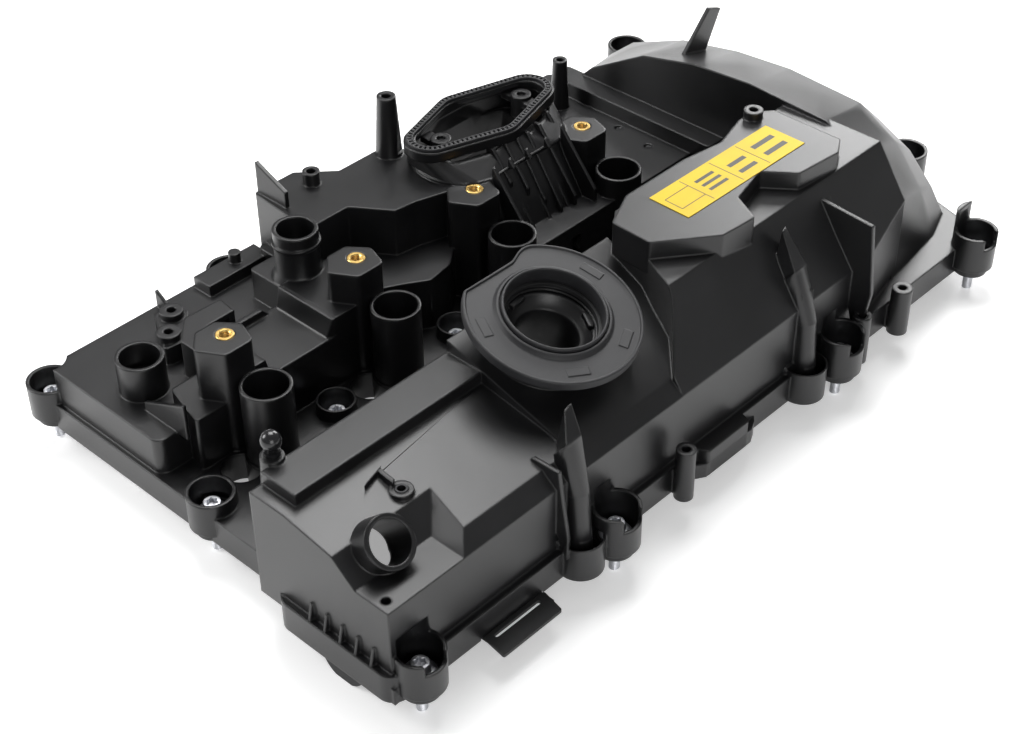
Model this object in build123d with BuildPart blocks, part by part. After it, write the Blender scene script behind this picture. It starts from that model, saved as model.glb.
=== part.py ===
from build123d import *
from math import cos, radians, sin, tan
import os

# Engine valve cover of a four-cylinder engine, moulded in glass-filled nylon.
# X runs from the front end to the timing chain end, Y from the exhaust side (minus)
# to the intake side (plus), and Z is up. Z = 0 is the sealing face, and the origin
# is on it, at the axis of the first spark plug well.

# Cylinders and spark plug wells
PITCH = 91.0
CYLINDERS = 4
WELL_TOP = 63.0
WELL_R = 13.8
WELL_BORE_R = 12.0
INJECTOR_BACK = 19.0
INJECTOR_Y = 3.0
INJECTOR_R = 11.0
COLLAR_WALL = 6.0

# Walls of the moulding
WALL = 3.0
FLANGE_TOP = 17.0
RIM_W = 10.0
RIM_H = 10.0
CORNER_R = 9.0

# Outline of the sealing flange
FRONT_X = -54.0
EXHAUST_FRONT_X = -69.0
CHAIN_X = 448.0
NEAR_Y = -160.0
FAR_Y = 125.0

# Gaskets in the sealing face
GROOVE_INSET = 4.5
GROOVE_W = 3.5
GROOVE_DEPTH = 5.0
GASKET_PROUD = 1.0
GASKET_CLEAR = 0.2
WELL_GROOVE_GROW = 1.2
WELL_GROOVE_W = 2.5
WELL_GROOVE_DEPTH = 3.0
TAB_T = 2.0
TAB_NECK_T = 1.0
LOBE_Y = -120.0
LOBE_T = 8.0
LOBE_R = 15.0
LOBE_DROP = 14.0

# Cover screws, with the sleeve and grommet under each head
SCREW_TIP = -14.0
SCREW_R = 3.0
HEAD_R = 5.2
HEAD_H = 6.0
WASHER_R = 8.6
WASHER_H = 1.6
SLEEVE_R = 4.8
SLEEVE_BORE_R = 3.3
SLEEVE_TOP = 10.4
GROMMET_R = 6.8
GROMMET_LIP_R = 9.4
GROMMET_LIP = 2.0
GROMMET_FOOT = 1.0
FIT = 0.1
BOSS_R = 10.0
CUP_R = 13.0
CUP_WALL = 2.0
CUP_BOTTOM = 5.0
CUP_FLOOR = 8.0
CUP_BACK_TOP = 40.0
INNER_CUP_R = 10.8
INNER_CUP_WALL = 1.2

# Intake deck and the parts that stand on it
DECK_X = -51.0
DECK_TOP = 39.0
RAIL_TOP = 62.0
SHELF_TOP = 50.0
STEP_TOP = 50.0
SPIGOT_BLOCK_TOP = 58.0
BOX_TOP = 80.0
REAR_DECK_TOP = 50.0
PEDESTAL_TOP = 81.0
INSERT_Y = 27.9
INSERT_SHIFT = -1.2
INSERT_R = 5.0
INSERT_BORE_R = 2.6
INSERT_DEPTH = 14.0

# Exhaust cam housing
HOUSING_X = -65.0
HOUSING_NEAR_Y = -156.0
HOUSING_SIDE_TOP = 56.0
HOUSING_EDGE_Y = -147.0
HOUSING_EDGE_Z = 63.5
STRIP_NEAR_Y = -88.0
STRIP_FAR_Y = -64.0
STRIP_TOP = 80.0
STRIP_FOOT = 73.0
STRIP_FRONT_X = -57.0
STRIP_BACK_X = 80.0
HOUSING_BASE = 8.0

# Filler neck and its collar
FILLER_TILT = 16.0
FILLER_X = 104.7
FILLER_Y = -100.5
FILLER_Z = 100.0
NECK_R = 30.0
NECK_DEPTH = 34.0
FILLER_BORE_R = 21.5
COLLAR_R = 46.0
COLLAR_T = 3.5
COLLAR_LIP_R = 28.0
COLLAR_LIP_H = 2.5
COLLAR_FLAT = 37.0
NECK_SEAL_T = 2.0

# Label plateau and its label
PLATEAU_TOP = 110.0
PLATEAU_BOTTOM = 90.0
LABEL_L = 100.0
LABEL_W = 27.0
LABEL_T = 0.4
LABEL_X = 255.0
LABEL_Y = -92.0
LABEL_TURN = -0.5

# Oval duct
DUCT_X = 218.0
DUCT_Y = 57.5
DUCT_L = 112.0
DUCT_W = 60.0
DUCT_TOP = 98.0
DUCT_FOOT = 40.0
DUCT_RIM_W = 8.0
DUCT_RIM_H = 6.0
DUCT_WALL = 3.5
DUCT_GASKET_W = 4.5
DUCT_GASKET_H = 5.0
DUCT_GROOVE = 3.0

# Round socket on the deck
SOCKET_X = -27.0
SOCKET_Y = 69.0
SOCKET_TOP = 60.0
SOCKET_R = 13.0
SOCKET_BORE_R = 10.8
SOCKET_SEAL_BORE_R = 8.0
SOCKET_SEAL_H = 6.0

# Hose spigot
SPIGOT_X = 80.0
SPIGOT_Y = 65.0
SPIGOT_TOP = 88.0
SPIGOT_R = 12.6
SPIGOT_WALL = 2.2
SPIGOT_BEAD = 1.0

# Sensor port in the exhaust housing
PORT_TILT = 47.0
PORT_X = -42.0
PORT_Y = -135.0
PORT_Z = 71.0
PORT_R = 13.5
PORT_BORE_R = 11.0
PORT_DEPTH = 30.0
SHELF_Z = 56.0
BUSH_X = -14.0
BUSH_Y = -113.0
BUSH_TOP = 71.0
BUSH_R = 3.2
BUSH_BORE_R = 2.1

# Ball stud for an acoustic cover
BALL_X = -46.0
BALL_Y = -60.0
BALL_Z = 90.0
BALL_R = 5.3
BALL_POST_TOP = 82.0
STUD_R = 2.5

# Chain case
ARCH_START_X = 345.0
ARCH_MID_X = 400.0
ARCH_END_X = 424.0
ARCH_BASE = 12.0

# Oil separator inside the box
BAFFLE_Z = 34.0
BAFFLE_T = 2.0
VALVE_X = 140.0
VALVE_Y = 75.0
VALVE_PORT_R = 9.0
VALVE_R = 12.0
VALVE_T = 2.0
GUIDE_R = 2.5
GUIDE_CLEAR = 0.3
SPRING_R = 6.0
SPRING_WIRE_R = 0.6
SPRING_TURNS = 5
SPRING_TOP = 52.0
BAFFLE_POSTS = [(104, 80), (118, 106), (168, 60), (165, 88)]
BAFFLE_DRAINS = [(108, 95), (122, 84)]

# Small standing parts on the intake deck, the separator box, the rear deck and the plateau
BRACKET_BLOCK = [(-8, 74), (6, 72), (23, 92), (20, 102), (8, 103)]
BRACKET_HOLES = [(14, 95), (1, 81)]
BRACKET_TOP = 54.0
DECK_PAD = [(48, 105), (92, 105), (92, 119), (48, 119)]
DECK_PAD_TOP = 46.0
DECK_PIN = (74, 114)
BOX_POST = (124, 101)
TALL_POST = (175.5, 91.5)
REAR_POST = (319, 88)
REAR_PIN_HOLES = [(324, 43), (320, 16)]
PLATEAU_POST = (308, -68)
POST_PROUD = 8.0

# Duct arms and ribs
DUCT_ARMS = [190, 257]
DUCT_ARM_Y = 70.0
DUCT_RIBS = [195, 208, 222, 238, 253]

# Near side: columns and their tops, guide bosses, ribs along the front foot, widened flange
COLUMNS = [(60, 62), (245, 66)]
GUIDES = [(134, -166, 5.3, 32), (289, -166, 5.3, 31), (327, -167, 6, 30)]
FOOT_RIB_Y = [-103, -113.5, -124, -134.5, -145]
FLANGE_PAD = [(150, -155), (154, -166), (188, -166), (192, -155)]
RIM_SCREWS = 11

WELL_X = [PITCH * n for n in range(CYLINDERS)]
INSERT_X = [x + INSERT_SHIFT for x in WELL_X]

FLANGE = [
    (FRONT_X, -66), (EXHAUST_FRONT_X, -84), (EXHAUST_FRONT_X, NEAR_Y), (404, NEAR_Y), (424, -152),
    (436, -112), (CHAIN_X, -88), (CHAIN_X, FAR_Y), (FRONT_X, FAR_Y),
]

# Outer line of the gasket groove, which passes the screws on their inner side
GASKET_LINE = [
    (FRONT_X + GROOVE_INSET, -21), (FRONT_X + GROOVE_INSET, -63), (EXHAUST_FRONT_X + GROOVE_INSET, -81),
    (EXHAUST_FRONT_X + GROOVE_INSET, -147), (-38, NEAR_Y + GROOVE_INSET), (402.5, NEAR_Y + GROOVE_INSET),
    (420, -149), (431.5, -110.5), (CHAIN_X - GROOVE_INSET, -86.5),
    (CHAIN_X - GROOVE_INSET, FAR_Y - GROOVE_INSET), (-41, FAR_Y - GROOVE_INSET),
    (FRONT_X + GROOVE_INSET, 112), (FRONT_X + GROOVE_INSET, 9), (-38.6, 1), (-38.6, -13),
]

# Each screw: its place, and the height of the cup round its head
SCREWS = [
    (-48, 127, 25), (-46.5, -6, 25), (-51.3, -160.2, 27), (80.5, -165.3, 29), (271.3, -165, 29),
    (407.5, -165, 28), (452, -86, 30), (452, 40, 30), (80.5, 130, 30), (262, 130, 30), (436, 131, 30),
    (45.5, 1, 25), (136.5, 1, 25), (227.5, 1, 25),
]
SCREW_XY = [(x, y) for x, y, _ in SCREWS]

DECK = [(DECK_X, 28), (88, 28), (88, 121), (DECK_X, 121)]
RAIL = [(-6, 16), (96, 16), (96, 60), (30, 60), (32, 74), (8, 75), (-6, 61)]
STEP_BLOCK = [(-34, 16), (-6, 16), (-6, 46), (-26, 46)]
SHELF = [(88, 40), (118, 24), (132, 15), (150, 18), (172, 34), (196, 46), (196, 110), (88, 110)]
SPIGOT_BLOCK = [(64, 48), (90, 48), (98, 56), (98, 88), (64, 88)]
BOX = [
    (95, 117), (91, 68), (121, 68), (136, 46), (150, 44), (176, 36), (192, 46), (186, 86), (175, 99),
    (143, 99), (124, 117),
]
REAR_DECK = [(176, -8), (345, -8), (345, 120), (176, 120)]
ARCH_STEP = [(331, -22), (347, -22), (347, 108), (331, 100)]
PLATEAU = [
    (175, -78), (199, -67), (247, -67), (275, -71), (300, -64), (312, -64), (322, -72), (322, -118),
    (310, -125), (279, -122), (266, -105), (238, -112), (229, -130), (205, -128), (174, -104),
]
REAR_PLAN = [
    (142, -157), (142, -149), (162, -130), (170, -112), (177, -98), (181, -74), (199, -60), (351, -60),
    (351, -147), (300, -157),
]

# Chain case cross-sections in Y and Z: ahead of the chain, over it, and at its end wall
ARCH_INNER = [
    (118, ARCH_BASE), (108, 44), (84, 68), (43, 92), (4, 101), (-38, 104), (-92, 101), (-118, 90),
    (-139, 62), (-150, ARCH_BASE),
]
ARCH_OUTER = [
    (120, ARCH_BASE), (114, 44), (96, 59), (55, 76), (12, 84), (-28, 87), (-80, 84), (-108, 68),
    (-128, 44), (-144, ARCH_BASE),
]
ARCH_END = [
    (116, ARCH_BASE), (108, 34), (88, 46), (50, 58), (10, 64), (-28, 66), (-80, 62), (-104, 50),
    (-122, 32), (-136, ARCH_BASE),
]


def outline(points, z, radius=0, inset=0):
    """A plan outline at height z, drawn in by an inset, with rounded corners."""
    with BuildSketch(Plane.XY.offset(z)) as plan:
        with BuildLine():
            Polyline(*points, close=True)
        make_face()
        if inset:
            offset(amount=-inset, kind=Kind.INTERSECTION)
        if radius:
            fillet(plan.vertices(), radius)
    return plan.sketch


def block(points, bottom, top, radius=0, inset=0, mode=Mode.ADD):
    """An upright block, or pocket, on a plan outline."""
    extrude(outline(points, bottom, radius, inset), amount=top - bottom, mode=mode)


def cuboid(low, high, mode=Mode.ADD):
    """A rectangular block between two corners."""
    middle = [(a + b) / 2 for a, b in zip(low, high)]
    with Locations(tuple(middle)):
        Box(high[0] - low[0], high[1] - low[1], high[2] - low[2], mode=mode)


def section_face(points, x, inset=0):
    """A cross-section in Y and Z at one place along X."""
    with BuildSketch(Plane.YZ.offset(x)) as section:
        with BuildLine():
            Polyline(*points, close=True)
        make_face()
        if inset:
            offset(amount=-inset, kind=Kind.INTERSECTION)
    return section.sketch


def ridge(points, start, end, inset=0, mode=Mode.ADD):
    """A body of one cross-section in Y and Z, run along X."""
    extrude(section_face(points, start, inset), amount=end - start, mode=mode)


def fin(points, x, thickness, mode=Mode.ADD):
    """A thin upright web across the cover, drawn in Y and Z."""
    ridge(points, x - thickness / 2, x + thickness / 2, mode=mode)


def posts(places, radius, bottom, top, mode=Mode.ADD):
    """Round bosses or holes at several places."""
    with BuildSketch(Plane.XY.offset(bottom)) as rounds:
        with Locations(*places):
            Circle(radius)
    extrude(rounds.sketch, amount=top - bottom, mode=mode)


def ring(places, outer, inner, bottom, top, mode=Mode.ADD):
    """Round rings at several places."""
    with BuildSketch(Plane.XY.offset(bottom)) as rounds:
        with Locations(*places):
            Circle(outer)
            Circle(inner, mode=Mode.SUBTRACT)
    extrude(rounds.sketch, amount=top - bottom, mode=mode)


def rib(points, y, thickness, mode=Mode.ADD):
    """A thin upright web along the cover, drawn in X and Z."""
    with BuildSketch(Plane.XZ.offset(-y - thickness / 2)) as web:
        with BuildLine():
            Polyline(*points, close=True)
        make_face()
    extrude(web.sketch, amount=thickness, mode=mode)


def racetrack(length, width, z, x=DUCT_X, y=DUCT_Y):
    """A plan outline with straight sides and half-round ends."""
    with BuildSketch(Plane.XY.offset(z)) as oval:
        with Locations((x, y)):
            SlotOverall(length, width)
    return oval.sketch


def housing_section(base):
    """Cross-section of the exhaust cam housing ahead of the filler."""
    return [
        (HOUSING_NEAR_Y, base), (HOUSING_NEAR_Y, HOUSING_SIDE_TOP), (HOUSING_EDGE_Y, HOUSING_EDGE_Z),
        (STRIP_NEAR_Y, STRIP_FOOT), (STRIP_FAR_Y, STRIP_FOOT), (STRIP_FAR_Y, base),
    ]


def filler_section(base):
    """Cross-section under the filler, where the roof leans with the filler's axis."""
    rise = (STRIP_FAR_Y - HOUSING_EDGE_Y) * tan(radians(FILLER_TILT))
    return [
        (HOUSING_NEAR_Y, base), (HOUSING_NEAR_Y, HOUSING_SIDE_TOP), (HOUSING_EDGE_Y, HOUSING_EDGE_Z),
        (STRIP_FAR_Y, HOUSING_EDGE_Z + rise), (STRIP_FAR_Y, base),
    ]


def rear_section(base):
    """Cross-section beside the label plateau."""
    return [
        (HOUSING_NEAR_Y, base), (HOUSING_NEAR_Y, HOUSING_SIDE_TOP), (-143, 74), (-126, 99),
        (-62, 99), (-62, base),
    ]


def chain_case(shrink=0.0, mode=Mode.ADD):
    """The arched chain case, or its hollow when it is drawn in by a wall."""
    stations = (
        (ARCH_START_X + shrink, ARCH_INNER), (ARCH_MID_X, ARCH_OUTER), (ARCH_END_X - shrink, ARCH_END),
    )
    centre = (ARCH_INNER[0][0] + ARCH_INNER[-1][0]) / 2
    half = (ARCH_INNER[0][0] - ARCH_INNER[-1][0]) / 2
    scale = 1 - shrink / half
    faces = []
    for x, points in stations:
        drawn = [(centre + (y - centre) * scale, z - shrink) for y, z in points]
        faces.append(section_face(drawn, x))
    loft(faces, ruled=True, mode=mode)


def rear_housing(inset=0.0, base=HOUSING_BASE):
    """The higher part of the exhaust housing, with its curved front wall."""
    with BuildPart() as body:
        ridge(rear_section(base), 140, 351, inset=inset)
        extrude(outline(REAR_PLAN, -20, inset=inset), amount=160, mode=Mode.INTERSECT)
    return body.part


filler_plane = Plane(
    origin=(FILLER_X, FILLER_Y, FILLER_Z),
    x_dir=(1, 0, 0),
    z_dir=(0, -sin(radians(FILLER_TILT)), cos(radians(FILLER_TILT))),
)
port_plane = Plane(
    origin=(PORT_X, PORT_Y, PORT_Z),
    x_dir=(1, 0, 0),
    z_dir=(0, -sin(radians(PORT_TILT)), cos(radians(PORT_TILT))),
)


def disc(plane, radius, bottom, top, mode=Mode.ADD):
    """A round body on a leaning plane, between two heights along its axis."""
    with BuildSketch(plane.offset(bottom)) as face:
        Circle(radius)
    extrude(face.sketch, amount=top - bottom, mode=mode)


def well_collar(grow):
    """The outline round a plug well and its injector opening, grown by a margin."""
    with BuildSketch() as collar:
        with Locations((0, 0)):
            Circle(WELL_BORE_R + grow)
        with Locations((-INJECTOR_BACK, INJECTOR_Y)):
            Circle(INJECTOR_R + grow)
        make_hull()
    return collar.sketch


def gasket_ring(clear, z=0):
    """The plan of the perimeter groove, or of the gasket in it with a clearance each side."""
    with BuildSketch(Plane.XY.offset(z)) as band:
        add(outline(GASKET_LINE, 0, 3, clear))
        add(outline(GASKET_LINE, 0, 0, GROOVE_W - clear), mode=Mode.SUBTRACT)
    return band.sketch


def well_ring(x, clear, z=0):
    """The plan of a well groove, or of the gasket in it with a clearance each side."""
    with BuildSketch(Plane.XY.offset(z)) as band:
        with Locations((x, 0)):
            add(well_collar(WELL_GROOVE_GROW + WELL_GROOVE_W - clear))
            add(well_collar(WELL_GROOVE_GROW + clear), mode=Mode.SUBTRACT)
    return band.sketch


def duct_groove(clear):
    """The plan of the groove in the oval rim, or of the gasket in it with a clearance each side."""
    edge = (DUCT_RIM_W - DUCT_GASKET_W) / 2 + clear
    inner = edge + DUCT_GASKET_W - 2 * clear
    with BuildSketch(Plane.XY.offset(DUCT_TOP - DUCT_GROOVE)) as band:
        with Locations((DUCT_X, DUCT_Y)):
            SlotOverall(DUCT_L - 2 * edge, DUCT_W - 2 * edge)
            SlotOverall(DUCT_L - 2 * inner, DUCT_W - 2 * inner, mode=Mode.SUBTRACT)
    return band.sketch


rear_body = rear_housing()
rear_hollow = rear_housing(WALL, RIM_H - WALL)

# Cover moulding: flange, cam housing, intake deck, chain case and all that stands on them
with BuildPart() as cover:
    # Outer form
    block(FLANGE, 0, FLANGE_TOP, CORNER_R)
    block(FLANGE_PAD, 0, FLANGE_TOP, 2)
    block(DECK, HOUSING_BASE, DECK_TOP, 6)
    block(RAIL, HOUSING_BASE, RAIL_TOP, 2)
    block(STEP_BLOCK, HOUSING_BASE, STEP_TOP, 2)
    block(SHELF, HOUSING_BASE, SHELF_TOP, 3)
    block(SPIGOT_BLOCK, HOUSING_BASE, SPIGOT_BLOCK_TOP, 2)
    block(BOX, HOUSING_BASE, BOX_TOP, 2)
    block(REAR_DECK, HOUSING_BASE, REAR_DECK_TOP, 4)
    block(ARCH_STEP, HOUSING_BASE, 60, 3)
    ridge(housing_section(HOUSING_BASE), HOUSING_X, 150)
    cuboid((STRIP_FRONT_X, STRIP_NEAR_Y, 60), (STRIP_BACK_X, STRIP_FAR_Y, STRIP_TOP))
    ridge(filler_section(HOUSING_BASE), 66, 188)
    add(rear_body)
    block(PLATEAU, PLATEAU_BOTTOM, PLATEAU_TOP, 2)
    chain_case()
    disc(filler_plane, NECK_R, -NECK_DEPTH, -COLLAR_T)

    # Screw bosses and cups round the flange
    posts(SCREW_XY[:RIM_SCREWS], BOSS_R, 0, CUP_FLOOR)
    for x, y, top in SCREWS[:RIM_SCREWS]:
        posts([(x, y)], CUP_R, CUP_BOTTOM, top)

    # Socket, hose spigot, bracket block and ribs on the intake deck
    posts([(SOCKET_X, SOCKET_Y)], SOCKET_R, DECK_TOP - 1, SOCKET_TOP)
    with Locations((SPIGOT_X, SPIGOT_Y, SPIGOT_BLOCK_TOP + 3)):
        Cone(SPIGOT_R + 2.6, SPIGOT_R, 6)
    posts([(SPIGOT_X, SPIGOT_Y)], SPIGOT_R, SPIGOT_BLOCK_TOP - 1, SPIGOT_TOP)
    posts([(SPIGOT_X, SPIGOT_Y)], SPIGOT_R + SPIGOT_BEAD, SPIGOT_TOP - 9, SPIGOT_TOP - 7)
    block(BRACKET_BLOCK, DECK_TOP - 1, BRACKET_TOP - 4, 2)
    posts(BRACKET_HOLES, 6.5, DECK_TOP - 1, BRACKET_TOP)
    block(DECK_PAD, DECK_TOP - 1, DECK_PAD_TOP)
    posts([DECK_PIN], 3.5, DECK_PAD_TOP - 1, DECK_PAD_TOP + 6)
    fin([(54, 38), (54, 44), (20, 60), (20, 38)], -37, 2)
    fin([(120, 38), (120, 50), (111, 44), (111, 38)], 23, 2)

    # Posts and fins on the separator box, the rear deck and the plateau
    posts([BOX_POST], 5, BOX_TOP - 1, BOX_TOP + POST_PROUD)
    with Locations((*TALL_POST, 98)):
        Cone(8, 5.5, 40)
    fin([(92, 78), (92, 90), (116, 100), (116, 78)], 98, 2.5)
    with Locations((*REAR_POST, 66)):
        Cone(6, 4.5, 34)
    posts([PLATEAU_POST], 5.5, PLATEAU_BOTTOM, PLATEAU_TOP + 5)
    with Locations((-47, BALL_Y - 1, 49)):
        Cone(9.5, 6, 66)
    rib([(356, 80), (382, 76), (399, 109), (388, 113)], 28, 2.5)

    # Near side: columns beside two screws, guide bosses, fin and foot ribs
    for x, top in COLUMNS:
        posts([(x, NEAR_Y)], 12.5, 0, 20)
        posts([(x, NEAR_Y + 2)], 5, 5, top)
    for x, y, radius, top in GUIDES:
        posts([(x, y)], radius, 0, top)
        cuboid((x - 2.5, y, 0), (x + 2.5, NEAR_Y + 2, FLANGE_TOP - 1))
    fin([(-126, 78), (-126, 92), (-163, 88), (-160, 62), (-148, 54)], 295, 2.5)
    for y in FOOT_RIB_Y:
        rib([(-68.5, 16), (-64, 16), (-64, 27), (-66, 27)], y, 1.4)

    # Duct body under the oval rim
    with BuildSketch(Plane.XY.offset(DUCT_FOOT)) as duct_foot:
        with Locations((228, 52)):
            RectangleRounded(74, 96, 12)
    loft([duct_foot.sketch, racetrack(DUCT_L - 6, DUCT_W - 6, DUCT_TOP - DUCT_RIM_H)])
    extrude(racetrack(DUCT_L, DUCT_W, DUCT_TOP - DUCT_RIM_H), amount=DUCT_RIM_H)
    for x in DUCT_RIBS:
        fin([(30, 91), (28, 91), (0, 58), (0, 49), (12, 49), (30, 80)], x, 2)

    # Hollow inside
    block(FLANGE, -1, FLANGE_TOP - WALL, 2, inset=RIM_W, mode=Mode.SUBTRACT)
    block(DECK, RIM_H, DECK_TOP - WALL, 3, inset=WALL, mode=Mode.SUBTRACT)
    block(RAIL, RIM_H, RAIL_TOP - WALL, inset=WALL, mode=Mode.SUBTRACT)
    block(SHELF, RIM_H, SHELF_TOP - WALL, inset=WALL, mode=Mode.SUBTRACT)
    block(SPIGOT_BLOCK, RIM_H, SPIGOT_BLOCK_TOP - WALL, inset=WALL, mode=Mode.SUBTRACT)
    block(BOX, RIM_H, BOX_TOP - WALL, inset=WALL, mode=Mode.SUBTRACT)
    block(REAR_DECK, RIM_H, REAR_DECK_TOP - WALL, inset=WALL, mode=Mode.SUBTRACT)
    ridge(housing_section(RIM_H - WALL), HOUSING_X + WALL, 140, inset=WALL, mode=Mode.SUBTRACT)
    ridge(filler_section(RIM_H - WALL), 66 + WALL, 188 - WALL, inset=WALL, mode=Mode.SUBTRACT)
    add(rear_hollow, mode=Mode.SUBTRACT)
    chain_case(WALL, mode=Mode.SUBTRACT)
    with BuildSketch(Plane.XY.offset(DUCT_FOOT - 8)) as passage_foot:
        with Locations((228, 52)):
            RectangleRounded(74 - 2 * DUCT_WALL, 96 - 2 * DUCT_WALL, 10)
    loft([passage_foot.sketch,
          racetrack(DUCT_L - 2 * DUCT_RIM_W, DUCT_W - 2 * DUCT_RIM_W, DUCT_TOP - DUCT_RIM_H)],
         mode=Mode.SUBTRACT)
    extrude(racetrack(DUCT_L - 2 * DUCT_RIM_W, DUCT_W - 2 * DUCT_RIM_W, DUCT_TOP - DUCT_RIM_H),
            amount=DUCT_RIM_H + 1, mode=Mode.SUBTRACT)

    # Wider rim where the gasket groove turns inwards past a screw
    cuboid((FRONT_X + 2, -26, 0), (-32, 14, RIM_H))
    cuboid((EXHAUST_FRONT_X + 2, NEAR_Y + 1, 0), (-36, -141, RIM_H))

    # Thick place under the recess in the housing roof, and backs of the near screw cups
    ridge([(-155, 51), (-155, 56.4), (-147, 63), (-110, 69), (-110, 60), (-122, 51)], HOUSING_X + 1, 12)
    with BuildSketch(Plane.XY.offset(CUP_FLOOR)) as cup_backs:
        with Locations(*SCREW_XY[2:6]):
            Circle(CUP_R)
        with Locations((0, HOUSING_NEAR_Y - 99)):
            Rectangle(1000, 200, mode=Mode.SUBTRACT)
    extrude(cup_backs.sketch, amount=CUP_BACK_TOP - CUP_FLOOR)

    # Collars of the plug wells and injector openings, and the inner screw cups
    for x in WELL_X:
        with BuildSketch() as collar_plan:
            with Locations((x, 0)):
                add(well_collar(COLLAR_WALL))
        extrude(collar_plan.sketch, amount=FLANGE_TOP)
    posts(SCREW_XY[RIM_SCREWS:], INNER_CUP_R, 0, SCREWS[-1][2])
    posts([SCREW_XY[1]], BOSS_R, 0, FLANGE_TOP)

    # Plug well tubes, and pedestals for the coil screws
    posts([(x, 0) for x in WELL_X], WELL_R, FLANGE_TOP - 1, WELL_TOP)
    for x in INSERT_X:
        block([(x - 20, 29), (x - 11, 14), (x + 7, 14), (x + 12, 29), (x + 3, 40), (x - 10, 40)],
              FLANGE_TOP - 1, PEDESTAL_TOP, 4)

    # Posts inside the separator box, and arms across the duct
    posts(BAFFLE_POSTS, 3.5, BAFFLE_Z + BAFFLE_T, BOX_TOP - 1)
    posts([(VALVE_X, VALVE_Y)], SPRING_R + 2, SPRING_TOP, BOX_TOP - 1)
    for x in DUCT_ARMS:
        cuboid((x - 1.5, 30, 62), (x + 1.5, 84, DUCT_TOP - 9))
    posts([(x, DUCT_ARM_Y) for x in DUCT_ARMS], 6, 80, DUCT_TOP - 5)

    # Sloping recess in the housing roof, with the sensor port in its back wall
    with BuildSketch(Plane.XY.offset(SHELF_Z)) as recess_low:
        with BuildLine():
            Polyline((-90, -175), (-16.5, -175), (-16.5, -134.5), (-90, -134.5), close=True)
        make_face()
    with BuildSketch(Plane.XY.offset(SHELF_Z + 24)) as recess_high:
        with BuildLine():
            Polyline((-90, -175), (13, -175), (13, -105), (-90, -105), close=True)
        make_face()
    loft([recess_low.sketch, recess_high.sketch], mode=Mode.SUBTRACT)
    disc(port_plane, PORT_R, -14, 0)
    posts([(BUSH_X, BUSH_Y)], 6, SHELF_Z, BUSH_TOP)
    disc(port_plane, PORT_BORE_R, -PORT_DEPTH, 1, mode=Mode.SUBTRACT)

    # Bores and holes
    posts([(x, 0) for x in WELL_X], WELL_BORE_R, -1, PEDESTAL_TOP + 1, mode=Mode.SUBTRACT)
    posts([(x, INSERT_Y) for x in INSERT_X], INSERT_R + FIT, PEDESTAL_TOP - INSERT_DEPTH,
          PEDESTAL_TOP + 1, mode=Mode.SUBTRACT)
    with BuildSketch(Plane.XY.offset(-1)) as injectors:
        with Locations(*[(x - INJECTOR_BACK, INJECTOR_Y) for x in WELL_X]):
            Circle(INJECTOR_R)
        with Locations(*[(x, 0) for x in WELL_X]):
            Circle(WELL_R + 1, mode=Mode.SUBTRACT)
    extrude(injectors.sketch, amount=FLANGE_TOP + 2, mode=Mode.SUBTRACT)
    posts([(BUSH_X, BUSH_Y)], BUSH_R, BUSH_TOP - 9, BUSH_TOP + 1, mode=Mode.SUBTRACT)
    disc(filler_plane, FILLER_BORE_R, -NECK_DEPTH - 12, 1, mode=Mode.SUBTRACT)
    with BuildSketch(filler_plane.offset(-COLLAR_T - NECK_SEAL_T)) as seal_groove:
        Circle(NECK_R - 3)
        Circle(NECK_R - 6, mode=Mode.SUBTRACT)
    extrude(seal_groove.sketch, amount=NECK_SEAL_T + 1, mode=Mode.SUBTRACT)
    posts([(SOCKET_X, SOCKET_Y)], SOCKET_BORE_R, DECK_TOP, SOCKET_TOP + 1, mode=Mode.SUBTRACT)
    posts([(SOCKET_X, SOCKET_Y)], SOCKET_SEAL_BORE_R, DECK_TOP - WALL - 1, SOCKET_TOP, mode=Mode.SUBTRACT)
    posts([(SPIGOT_X, SPIGOT_Y)], SPIGOT_R - SPIGOT_WALL, SPIGOT_BLOCK_TOP - WALL - 1, SPIGOT_TOP + 1,
          mode=Mode.SUBTRACT)
    posts(BRACKET_HOLES, 2.6, BRACKET_TOP - 14, BRACKET_TOP + 1, mode=Mode.SUBTRACT)
    posts([BOX_POST], 2.75, BOX_TOP + 1, BOX_TOP + POST_PROUD + 1, mode=Mode.SUBTRACT)
    posts([TALL_POST], 2.8, 100, 119, mode=Mode.SUBTRACT)
    posts([REAR_POST], 2.3, 70, 84, mode=Mode.SUBTRACT)
    posts([PLATEAU_POST], 2.5, PLATEAU_TOP - 4, PLATEAU_TOP + 6, mode=Mode.SUBTRACT)
    posts(REAR_PIN_HOLES, 2.5, REAR_DECK_TOP - 1, REAR_DECK_TOP + 1, mode=Mode.SUBTRACT)
    posts([(x, DUCT_ARM_Y) for x in DUCT_ARMS], 2.6, 84, DUCT_TOP, mode=Mode.SUBTRACT)
    extrude(duct_groove(0), amount=DUCT_GROOVE, mode=Mode.SUBTRACT)
    ring([(x, NEAR_Y) for x, top in COLUMNS], 11.5, 6, 3, 21, mode=Mode.SUBTRACT)
    posts([(x, y) for x, y, radius, top in GUIDES], 2.5, 14, 40, mode=Mode.SUBTRACT)
    posts([(BALL_X, BALL_Y)], STUD_R + FIT, BALL_POST_TOP - 12, BALL_POST_TOP + 1, mode=Mode.SUBTRACT)

    # Notch in the flange for the gasket's pull tab
    cuboid((-11, NEAR_Y - 1, -1), (33, NEAR_Y + GROOVE_INSET + 1, TAB_NECK_T + GASKET_CLEAR),
           mode=Mode.SUBTRACT)

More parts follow.
